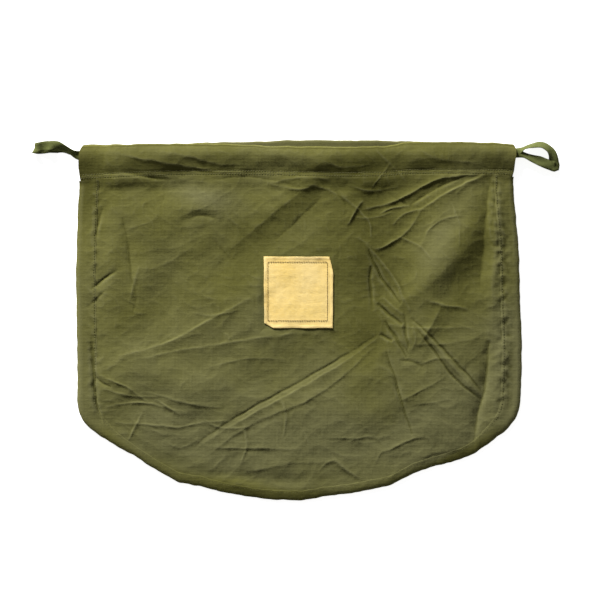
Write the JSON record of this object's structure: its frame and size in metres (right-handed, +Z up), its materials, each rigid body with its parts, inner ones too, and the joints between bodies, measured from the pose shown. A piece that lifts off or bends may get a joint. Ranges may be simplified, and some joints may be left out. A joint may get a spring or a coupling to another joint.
{
  "type": "drawstring cloth bag",
  "caption": "Olive cotton drawstring bag, laid flat, with a rounded bottom, a hem casing round the mouth, a tape loop out of each side and a tan cloth label.",
  "frame": {"origin": "middle of the bag's outline, on the surface that it lies on", "axes": "+Z up through the front panel, +Y out of the mouth, +X to the right of the front"},
  "size_m": [0.6615, 0.456, 0.0142],
  "materials": {
    "olive_cloth": "plain weave, slubby, worn",
    "olive_hem": "plain weave, doubled hem",
    "tape": "woven cotton tape",
    "olive_thread": "cotton thread",
    "tan_cloth": "plain weave, tan",
    "dark_thread": "cotton thread"
  },
  "bodies": {
    "root": {"back_panel": "olive_cloth", "back_casing": "olive_hem", "back_casing_stitching": "olive_thread", "left_seam_band": "olive_cloth", "right_seam_band": "olive_cloth", "bottom_seam_band": "olive_cloth", "left_seam_stitching": "olive_thread", "right_seam_stitching": "olive_thread", "bottom_seam_stitching": "olive_thread"},
    "front": {"front_panel": "olive_cloth", "front_casing": "olive_hem", "front_casing_stitching": "olive_thread", "label_patch": "tan_cloth", "label_stitching": "dark_thread"},
    "left_drawstring": {"left_loop": "tape", "left_strand_back": "tape"},
    "left_front_tape": {"left_strand_front": "tape"},
    "right_drawstring": {"right_loop": "tape", "right_neck": "tape", "right_strand_back": "tape"},
    "right_front_tape": {"right_strand_front": "tape"}
  },
  "joints": [
    {"name": "mouth_open", "type": "hinge", "parent": "root", "child": "front", "pos_m": [0, -0.2027, 0.0108], "axis": [1, 0, 0], "range_deg": [0, 8]},
    {"name": "left_pull", "type": "slide", "parent": "root", "child": "left_drawstring", "axis": [-1, 0, 0], "range_m": [0, 0.04]},
    {"name": "right_pull", "type": "slide", "parent": "root", "child": "right_drawstring", "axis": [1, 0, 0], "range_m": [0, 0.04]},
    {"name": "left_front_pull", "type": "slide", "parent": "front", "child": "left_front_tape", "axis": [-1, 0, 0], "range_m": [0, 0.04]},
    {"name": "right_front_pull", "type": "slide", "parent": "front", "child": "right_front_tape", "axis": [1, 0, 0], "range_m": [0, 0.04]}
  ],
  "couplings": [
    {"joint": "left_front_pull", "follows": "left_pull", "ratio": 1},
    {"joint": "right_front_pull", "follows": "right_pull", "ratio": 1}
  ]
}
